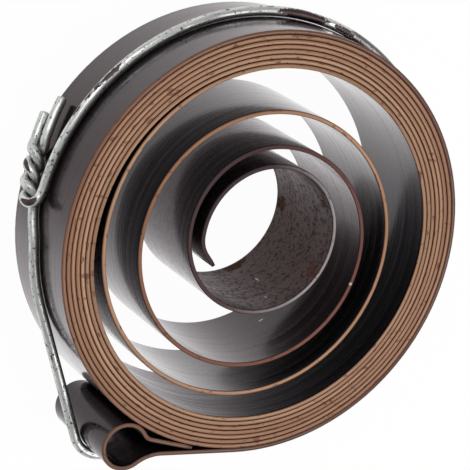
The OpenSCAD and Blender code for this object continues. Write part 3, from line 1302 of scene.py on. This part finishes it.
@dataclass
class SpringStrip:
    """The coiled strip, from its hook to its eye."""

    coil: Coil
    ends: StripEnds
    corner_r: float = 0.12
    corner_steps: int = 4
    face_steps: int = 6
    support: float = 0.12
    turn_step: float = 3.0
    straight_step: float = 1.5
    chamfer: float = 0.08
    unevenness: float = 0.09
    wave_turns: tuple[float, float] = (1.31, 0.37)
    wave_shift: float = 1.3

    def line(self) -> Line:
        """Walks the mid-line from the hook's tip to the end of the turned-back leaf.

        Returns:
            The line's stations.
        """
        stretches = self.ends.hook()
        stretches += [arc(Hand.RIGHT, self.coil.arc_r(i), 90) for i in range(self.coil.last_arc + 1)]
        stretches += self.ends.eye()
        made = Line()
        point, heading, along = self.ends.hook_tip(), math.radians(90 + self.ends.hook_angle), 0.0
        made.add(point, heading, along)
        for stretch in stretches:
            turn = abs(stretch.bend) * stretch.length
            steps = max(
                math.ceil(turn / math.radians(self.turn_step)),
                1 if turn else math.ceil(stretch.length / self.straight_step),
            )
            step_l = stretch.length / steps
            step_turn = stretch.bend * step_l
            for _ in range(steps):
                chord = step_l if not step_turn else 2 / stretch.bend * math.sin(step_turn / 2)
                point = point + chord * polar(math.degrees(heading + step_turn / 2))
                heading += step_turn
                along += step_l
                made.add(point, heading, along)
        return made

    def section(self) -> tuple[np.ndarray, np.ndarray]:
        """The strip's rounded section, from low on the outer face round past its upper edge.

        Returns:
            Points as (out, rise) from the section's middle, and each one's share of slit edge.
        """
        out, rise = self.coil.strip_t / 2 - self.corner_r, self.coil.strip_w / 2 - self.corner_r
        inner = rise - self.support
        stops = [-rise, *np.linspace(-inner, inner, self.face_steps + 1), rise]
        points, edge = [], []
        for side in (1, -1):
            for stop in stops[:-1]:
                points.append((side * (out + self.corner_r), side * stop))
                edge.append(0.0)
            for step in range(self.corner_steps + 1):
                turn = polar(90 * step / self.corner_steps) * self.corner_r
                points.append((side * (out + turn[0]), side * (rise + turn[1])))
                edge.append(step / self.corner_steps)
            points.append((0.0, side * (rise + self.corner_r)))
            edge.append(1.0)
            for step in range(self.corner_steps):
                turn = polar(90 + 90 * step / self.corner_steps) * self.corner_r
                points.append((side * (-out + turn[0]), side * (rise + turn[1])))
                edge.append(1 - step / self.corner_steps)
        return np.array(points), np.array(edge)

    def sweep(self) -> Sweep:
        """Carries the section along the line, with the turns' upper edges a little uneven.

        Returns:
            The strip's rings.
        """
        line = self.line()
        section, edge = self.section()
        points = np.array(line.point)
        heading = np.array(line.heading)
        along = np.array(line.along)
        left = np.stack((-np.sin(heading), np.cos(heading)), axis=-1)
        size = np.ones((len(along), 1))
        half = self.coil.strip_t / 2
        size[0] = size[-1] = 1 - self.chamfer / half
        out = section[None, :, 0] * size
        turned = heading[0] - heading
        fast, slow = self.wave_turns
        # The two waves add up to -2 to 2, so each turn settles by 0 to the whole unevenness.
        wave = np.sin(fast * turned) + np.sin(slow * turned + self.wave_shift)
        settle = self.unevenness * (0.5 + 0.25 * wave)
        upper = np.clip(section[:, 1] / section[:, 1].max(), 0, 1)
        rise = section[None, :, 1] - settle[:, None] * upper[None, :]
        rings = np.zeros((len(along), len(section), 3))
        rings[:, :, :2] = points[:, None, :] + out[:, :, None] * left[:, None, :]
        rings[:, :, 2] = self.coil.strip_w / 2 + rise
        place = np.zeros_like(rings)
        place[:, :, 0] = along[:, None]
        place[:, :, 1] = section[None, :, 0]
        place[:, :, 2] = section[None, :, 1]
        sides = np.linalg.norm(np.diff(section, axis=0, append=section[:1]), axis=1)
        return Sweep(rings, place, edge, np.concatenate(((0.0,), np.cumsum(sides))))

    def build(self, effects: Effects) -> bpy.types.Object:
        """Makes the strip and dresses it.

        Args:
            effects: The shared groups.

        Returns:
            The strip's object.
        """
        made = bpy.data.objects.new("spring_strip_coiled", self.sweep().mesh("spring_strip_coiled"))
        bpy.context.scene.collection.objects.link(made)
        made.data.materials.append(SpringSteel().build(effects))
        made.data.materials.append(CutSteel().build(effects))
        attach(made, BODY)
        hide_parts("spring_strip")
        return made


@dataclass
class TieWire:
    """The binding wire round the rim and the eye, with its twisted ends folded down on the rim."""

    coil: Coil
    ends: StripEnds
    wire_d: float = 1.6
    wire_gap: float = 0.05
    wire_z: float = 10.0
    join_angle: float = 177.4
    twist_gap: float = 0.14
    twist_turns: float = 2.4
    lean_angle: float = 40.0
    end_lean: float = 18.0
    twist_share: float = 7.6
    ease_share: float = 1.5
    sweep_share: float = 10.6
    drop_share: float = 0.25
    long_share: float = 4.2
    short_share: float = 2.4
    turn_share: float = 3.1
    turn_reach_share: float = 4.5
    rise_share: float = 2.8
    rise_reach_share: float = 2.3
    sides: int = 20
    belt_step: float = 1.5
    twist_step: float = 0.2
    bend_steps: int = 28
    chamfer: float = 0.25

    @property
    def lift(self) -> float:
        """Height of the wire's middle over the rim."""
        return self.wire_gap + self.wire_d / 2

    @property
    def helix_r(self) -> float:
        """Radius at which each end runs round the twist's axis."""
        return (self.wire_d + self.twist_gap) / 2

    @property
    def rim_turn(self) -> float:
        """Degrees round the rim for each millimetre of belt."""
        return math.degrees(1 / (self.coil.face_r(self.coil.last_arc - 2) + self.lift))

    def off_rim(self, angle: float, height: float, lift: float) -> np.ndarray:
        """A point beside the rim.

        Args:
            angle: Angle round the coil.
            height: Height over the resting plane.
            lift: Distance off the rim's face.

        Returns:
            The point in the part's frame.
        """
        i = self.coil.rim_arc(angle)
        plan = self.coil.centre(i) + (self.coil.face_r(i) + lift) * polar(angle)
        return np.array((*plan, height))

    def tangent_angle(self, rim_arc: int, side: int) -> float:
        """Angle at which the wire runs straight between an arc of the rim and the eye.

        Args:
            rim_arc: Number of the rim's arc.
            side: 1 or -1, for the side of the eye on which it runs.

        Returns:
            The angle round the coil.
        """
        away = self.ends.eye_centre - self.coil.centre(rim_arc)
        slack = self.coil.face_r(rim_arc) - self.ends.eye_out_r
        lean = math.degrees(math.acos(slack / float(np.linalg.norm(away))))
        return math.degrees(math.atan2(away[1], away[0])) + side * lean

    @property
    def twist_l(self) -> float:
        """Length of the twist."""
        return self.twist_share * self.wire_d

    @property
    def ease_l(self) -> float:
        """Length over which the twist eases in and out."""
        return self.ease_share * self.wire_d

    @property
    def sweep_r(self) -> float:
        """Radius in which the twist swings round towards the rim's own direction."""
        return self.sweep_share * self.wire_d

    @property
    def turn_l(self) -> float:
        """Length above the join in which the upper end turns back."""
        return self.turn_share * self.wire_d

    @property
    def rise_l(self) -> float:
        """Length below the join in which the lower end rises off the rim."""
        return self.rise_share * self.wire_d

    def axis_lean(self, u: float) -> float:
        """Angle between the rim and the twist's axis at a distance along it."""
        return max(self.lean_angle - math.degrees(u / self.sweep_r), self.end_lean)

    def axis_point(self, u: float) -> np.ndarray:
        """Place on the twist's axis.

        Args:
            u: Distance along the axis.

        Returns:
            Distance along the rim from the join, height, and lift off the rim.
        """
        lean, start, rest = polar(self.axis_lean(u)), polar(self.lean_angle), polar(self.end_lean)
        straight = max(u - self.sweep_r * math.radians(self.lean_angle - self.end_lean), 0)
        drop = self.drop_share * self.wire_d + self.sweep_r * (lean[0] - start[0]) + straight * rest[1]
        along = self.sweep_r * (start[1] - lean[1]) + straight * rest[0]
        return np.array((along, self.wire_z - drop, self.lift + self.helix_r))

    def eased_l(self, u: float) -> float:
        """Length of even twist that turns as far as the eased twist does.

        Args:
            u: Distance along the axis.

        Returns:
            The length.
        """
        if u < self.ease_l:
            return u * u / (2 * self.ease_l)
        if u < self.twist_l - self.ease_l:
            return u - self.ease_l / 2
        rest = self.twist_l - min(u, self.twist_l)
        return self.twist_l - self.ease_l - rest * rest / (2 * self.ease_l)

    def strand(self, end: WireEnd, u: float) -> np.ndarray:
        """Place of one end's middle in the twist.

        Args:
            end: Which of the two ends.
            u: Distance along the twist's axis.

        Returns:
            Distance along the rim from the join, height, and lift off the rim.
        """
        lean = polar(self.axis_lean(u))
        turn = polar(90 - 90 * end.value + 360 * self.twist_turns / self.twist_l * self.eased_l(u))
        return self.axis_point(u) + self.helix_r * np.array((turn[0] * lean[1], turn[0] * lean[0], turn[1]))

    def join_bend(self, end: WireEnd) -> list[np.ndarray]:
        """Places along the bend from the belt into the twist.

        Args:
            end: Which of the two ends.

        Returns:
            Places as distance along the rim from the join, height, and lift off the rim.
        """
        upper = end is WireEnd.UPPER
        reach = (self.turn_reach_share if upper else self.rise_reach_share) * self.wire_d
        start = np.array((self.turn_l if upper else -self.rise_l, self.wire_z, self.lift))
        start_way = np.array((-end.value * reach, 0.0, 0.0))
        stop = self.strand(end, self.ease_l)
        stop_way = unit(self.strand(end, self.ease_l + MM) - stop) * reach
        places = []
        for t in np.linspace(0, 1, self.bend_steps + 1)[1:-1]:
            keep = (1 - t) ** 2
            near = (1 + 2 * t) * keep * start + t * keep * start_way
            places.append(near + (3 - 2 * t) * t * t * stop - (1 - t) * t * t * stop_way)
        return places

    def wire_end(self, end: WireEnd, straight: float) -> list[np.ndarray]:
        """Points from the belt to one cut end.

        Args:
            end: Which of the two ends.
            straight: Length past the twist.

        Returns:
            Points in the part's frame.
        """
        length = self.twist_l + straight - self.ease_l
        steps = math.ceil(length / self.twist_step)
        places = self.join_bend(end)
        places += [self.strand(end, self.ease_l + length * j / steps) for j in range(steps + 1)]
        return [self.off_rim(self.join_angle - p[0] * self.rim_turn, p[1], p[2]) for p in places]

    def belt(self) -> list[np.ndarray]:
        """Walks the belt from above the join, round the rim and the eye, to below the join.

        Returns:
            Points in the part's frame.
        """
        last = self.coil.last_arc
        leave = self.tangent_angle(last, 1)
        meet = self.tangent_angle(last - 3, -1)

        def angles(start: float, stop: float) -> np.ndarray:
            """Even angles from one to another."""
            return np.linspace(start, stop, math.ceil((start - stop) / self.belt_step) + 1)

        eye, eye_r = self.ends.eye_centre, self.ends.eye_out_r + self.lift
        before = angles(self.join_angle - self.turn_l * self.rim_turn, leave)
        after = angles(meet + 360, self.join_angle + self.rise_l * self.rim_turn)
        points = [self.off_rim(a, self.wire_z, self.lift) for a in before]
        points += [np.array((*(eye + eye_r * polar(a)), self.wire_z)) for a in angles(leave, meet)]
        return points + [self.off_rim(a, self.wire_z, self.lift) for a in after]

    def path(self) -> np.ndarray:
        """Points of the wire's middle, from its long cut end to its short one."""
        upper = self.wire_end(WireEnd.UPPER, self.long_share * self.wire_d)[::-1]
        return np.array(upper + self.belt() + self.wire_end(WireEnd.LOWER, self.short_share * self.wire_d))

    def sweep(self) -> Sweep:
        """Carries the wire's round section along its path, with its tips clipped to a blunt point.

        Returns:
            The wire's rings.
        """
        path = self.path()
        ways = np.array([unit(w) for w in np.gradient(path, axis=0)])
        steps = np.linalg.norm(np.diff(path, axis=0), axis=1)
        along = np.concatenate(((0.0,), np.cumsum(steps)))
        side = np.array((0.0, 0.0, 1.0))
        turn = np.linspace(0, 2 * math.pi, self.sides, endpoint=False)
        radius = np.full(len(path), self.wire_d / 2)
        radius[0] = radius[-1] = self.wire_d / 2 - self.chamfer
        rings, place = [], []
        for point, way, r, distance in zip(path, ways, radius, along, strict=True):
            side = unit(side - np.dot(side, way) * way)
            up = np.cross(side, way)
            rings.append(point + r * (np.cos(turn)[:, None] * up + np.sin(turn)[:, None] * side))
            start = np.full(self.sides, distance)
            place.append(np.stack((start, r * np.cos(turn), r * np.sin(turn)), axis=-1))
        girth = np.linspace(0, math.pi * self.wire_d, self.sides + 1)
        return Sweep(np.array(rings), np.array(place), np.zeros(self.sides), girth)

    def build(self, effects: Effects) -> bpy.types.Object:
        """Makes the wire and dresses it.

        Args:
            effects: The shared groups.

        Returns:
            The wire's object.
        """
        made = bpy.data.objects.new("tie_wire_twisted", self.sweep().mesh("tie_wire_twisted"))
        bpy.context.scene.collection.objects.link(made)
        zinc = Galvanised().build(effects)
        made.data.materials.append(zinc)
        made.data.materials.append(zinc)
        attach(made, BODY)
        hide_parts("tie_wire")
        return made


@dataclass(frozen=True)
class Lamp:
    """A square softbox that looks at the spring."""

    name: str
    place_m: tuple[float, float, float]
    side_m: float
    watts: float

    def build(self, aim: Vector) -> None:
        """Hangs the lamp.

        Args:
            aim: Point that it looks at, in metres.
        """
        light = bpy.data.lights.new(self.name, "AREA")
        light.size = self.side_m
        light.energy = self.watts
        made = bpy.data.objects.new(self.name, light)
        made.location = self.place_m
        made.rotation_euler = (aim - Vector(self.place_m)).to_track_quat("-Z", "Y").to_euler()
        bpy.context.scene.collection.objects.link(made)


@dataclass(frozen=True)
class Studio:
    """White floor and surroundings, two softboxes and the photograph's camera."""

    floor_side_m: float = 6.0
    floor_white: float = 0.97
    floor_mirrored: float = 0.9
    floor_drop: float = 0.02
    floor_colour: Colour = (0.9, 0.9, 0.9, 1.0)
    white: Colour = (1.0, 1.0, 1.0, 1.0)
    surround: float = 0.5
    surround_mirrored: float = 0.5
    lamps: tuple[Lamp, ...] = (
        Lamp("key", (-0.34, 0.42, 0.38), 0.45, 1.2),
        Lamp("top", (0.32, -0.12, 0.50), 0.60, 2.1),
    )
    eye_m: tuple[float, float, float] = (-0.1806, 0.1012, 0.3333)
    right: tuple[float, float, float] = (0.88413, 0.14263, 0.44494)
    up: tuple[float, float, float] = (0.0, 0.95227, -0.30525)
    lens_mm: float = 186.2
    sensor_mm: float = 36.0
    near_m: float = 0.01
    far_m: float = 10.0

    def floor_share(self, bench: Bench) -> Socket:
        """How far the floor is plain white: nearly all to the eye, less where metal mirrors it.

        Args:
            bench: Bench on the floor's tree.

        Returns:
            The share's socket.
        """
        path = bench.node("ShaderNodeLightPath").outputs
        eye = bench.math("MAXIMUM", path["Is Camera Ray"], path["Is Transmission Ray"])
        shown = bench.times(eye, self.floor_white)
        mirrored = bench.times(path["Is Glossy Ray"], self.floor_mirrored)
        return bench.math("MAXIMUM", shown, mirrored)

    def surround_strength(self, bench: Bench) -> Socket:
        """How bright the surroundings are: white to the eye, dimmer where metal mirrors them.

        Args:
            bench: Bench on the world's tree.

        Returns:
            The strength's socket.
        """
        path = bench.node("ShaderNodeLightPath").outputs
        eye = bench.math("MAXIMUM", path["Is Camera Ray"], path["Is Transmission Ray"])
        by_ray = Fade(0.0, 1.0, self.surround, self.surround_mirrored)
        return bench.math("MAXIMUM", eye, bench.ease(path["Is Glossy Ray"], by_ray))

    def build_floor(self) -> None:
        """Lays the floor under the spring: white to the eye, with the spring's own shadow."""
        half = self.floor_side_m / 2
        mesh = bpy.data.meshes.new("floor")
        corners = [(-half, -half, 0), (half, -half, 0), (half, half, 0), (-half, half, 0)]
        mesh.from_pydata(corners, [], [(0, 1, 2, 3)])
        made = bpy.data.objects.new("floor", mesh)
        made.location.z = CAD_BOX[0].z - self.floor_drop * MM
        bpy.context.scene.collection.objects.link(made)
        material, bench = new_material("white_floor")
        lit = bench.node("ShaderNodeBsdfDiffuse", {"Color": self.floor_colour})
        white = bench.node("ShaderNodeEmission", {"Color": self.white, "Strength": 1.0})
        inputs = {0: self.floor_share(bench), 1: lit.outputs[0], 2: white.outputs[0]}
        close_material(bench, bench.node("ShaderNodeMixShader", inputs))
        mesh.materials.append(material)

    def build_surround(self) -> None:
        """Sets the world: even soft light, white where it is seen."""
        world = bpy.data.worlds.new("white_surround")
        world.use_nodes = True
        bench = Bench(world.node_tree)
        strength = self.surround_strength(bench)
        light = bench.node("ShaderNodeBackground", {"Color": self.white, "Strength": strength})
        bench.node("ShaderNodeOutputWorld", {"Surface": light.outputs[0]})
        bpy.context.scene.world = world

    def build_camera(self) -> None:
        """Sets the photograph's viewpoint."""
        data = bpy.data.cameras.new("photo_view")
        data.sensor_width = self.sensor_mm
        data.lens = self.lens_mm
        data.clip_start = self.near_m
        data.clip_end = self.far_m
        made = bpy.data.objects.new("photo_view", data)
        right, up = Vector(self.right), Vector(self.up)
        turn = Matrix((right, up, right.cross(up))).transposed()
        made.matrix_world = Matrix.Translation(Vector(self.eye_m)) @ turn.to_4x4()
        bpy.context.scene.collection.objects.link(made)
        bpy.context.scene.camera = made

    def build(self) -> None:
        """Sets up the floor, the light and the camera."""
        self.build_floor()
        self.build_surround()
        aim = (CAD_BOX[0] + CAD_BOX[1]) / 2
        for lamp in self.lamps:
            lamp.build(aim)
        self.build_camera()
        bpy.context.scene.view_settings.view_transform = "Standard"


def main() -> None:
    """Builds the spring, its wire and the studio, and reports each piece."""
    logging.basicConfig(level=logging.INFO, format="%(name)s: %(message)s")
    effects = Effects.build()
    coil = Coil()
    ends = StripEnds(coil)
    for piece in (SpringStrip(coil, ends).build(effects), TieWire(coil, ends).build(effects)):
        log.info("%s: %d faces", piece.name, len(piece.data.polygons))
    Studio().build()
    log.info("studio: floor, surround, lamps and camera")


if __name__ == "__main__":
    main()
